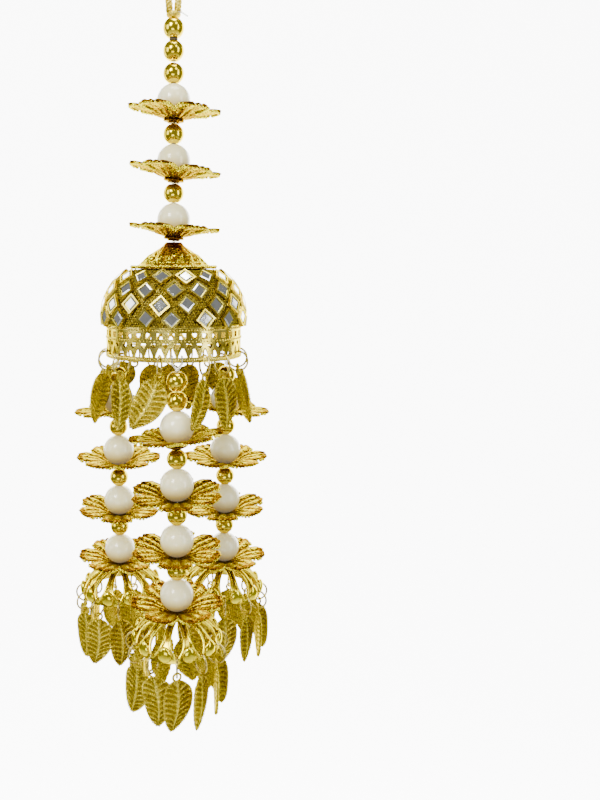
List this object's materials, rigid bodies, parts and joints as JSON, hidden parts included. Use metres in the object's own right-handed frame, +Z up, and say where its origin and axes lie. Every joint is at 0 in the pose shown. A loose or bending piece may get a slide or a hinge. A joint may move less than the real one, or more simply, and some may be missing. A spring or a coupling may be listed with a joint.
{
  "type": "kalire bridal ornament",
  "caption": "Bridal wrist ornament: cord loop, pearls in metal flowers, a mirror-set dome with a pierced band, and hanging strands that end in pierced bells with leaf drops.",
  "frame": {"origin": "inside top of the hanging loop, where the ornament hangs", "axes": "+Z up along the hanging line, -Y to the front strand, +X to the right of the front"},
  "size_m": [0.0666, 0.063, 0.2317],
  "materials": {
    "gold_cord": "twisted metallic zari thread",
    "dark_cord": "wound dark thread, matt",
    "clear_thread": "clear nylon thread",
    "gold_bead": "gold plate, polished",
    "pearl": "cream pearl lacquer",
    "flower_gold": "gold plate, cast relief",
    "cap_gold": "gold plate, embossed",
    "dome_gold": "gold plate, darkened in the grained ground",
    "mirror": "silvered glass",
    "ring_gold": "gold plated wire",
    "leaf_gold": "muted gold plate, embossed",
    "bell_gold": "gold plate, raised ridges"
  },
  "bodies": {
    "root": {"hanging_cord": "gold_cord", "cord_knot": "dark_cord", "top_gold_bead_1": "gold_bead", "top_gold_bead_2": "gold_bead", "top_gold_bead_3": "gold_bead", "top_gold_bead_4": "gold_bead", "top_gold_bead_5": "gold_bead", "top_pearl_1": "pearl", "top_pearl_2": "pearl", "top_pearl_3": "pearl", "top_flower_1": "flower_gold", "top_flower_2": "flower_gold", "top_flower_3": "flower_gold", "dome_cap": "cap_gold", "mirror_dome": "dome_gold", "mirrors": "mirror", "main_thread": "clear_thread", "band_rings": "ring_gold", "band_leaves": "leaf_gold", "front_pearl_1": "pearl", "front_pearl_2": "pearl", "front_pearl_3": "pearl", "front_pearl_4": "pearl", "front_flower_1": "flower_gold", "front_flower_2": "flower_gold", "front_flower_3": "flower_gold", "front_flower_4": "flower_gold", "front_gold_beads": "gold_bead", "front_bell": "bell_gold", "front_bell_rings": "ring_gold", "front_bell_leaves": "leaf_gold", "front_thread": "clear_thread", "left_pearl_1": "pearl", "left_pearl_2": "pearl", "left_pearl_3": "pearl", "left_pearl_4": "pearl", "left_flower_1": "flower_gold", "left_flower_2": "flower_gold", "left_flower_3": "flower_gold", "left_flower_4": "flower_gold", "left_gold_beads": "gold_bead", "left_bell": "bell_gold", "left_bell_rings": "ring_gold", "left_bell_leaves": "leaf_gold", "left_thread": "clear_thread", "right_pearl_1": "pearl", "right_pearl_2": "pearl", "right_pearl_3": "pearl", "right_pearl_4": "pearl", "right_flower_1": "flower_gold", "right_flower_2": "flower_gold", "right_flower_3": "flower_gold", "right_flower_4": "flower_gold", "right_gold_beads": "gold_bead", "right_bell": "bell_gold", "right_bell_rings": "ring_gold", "right_bell_leaves": "leaf_gold", "right_thread": "clear_thread"}
  },
  "joints": []
}
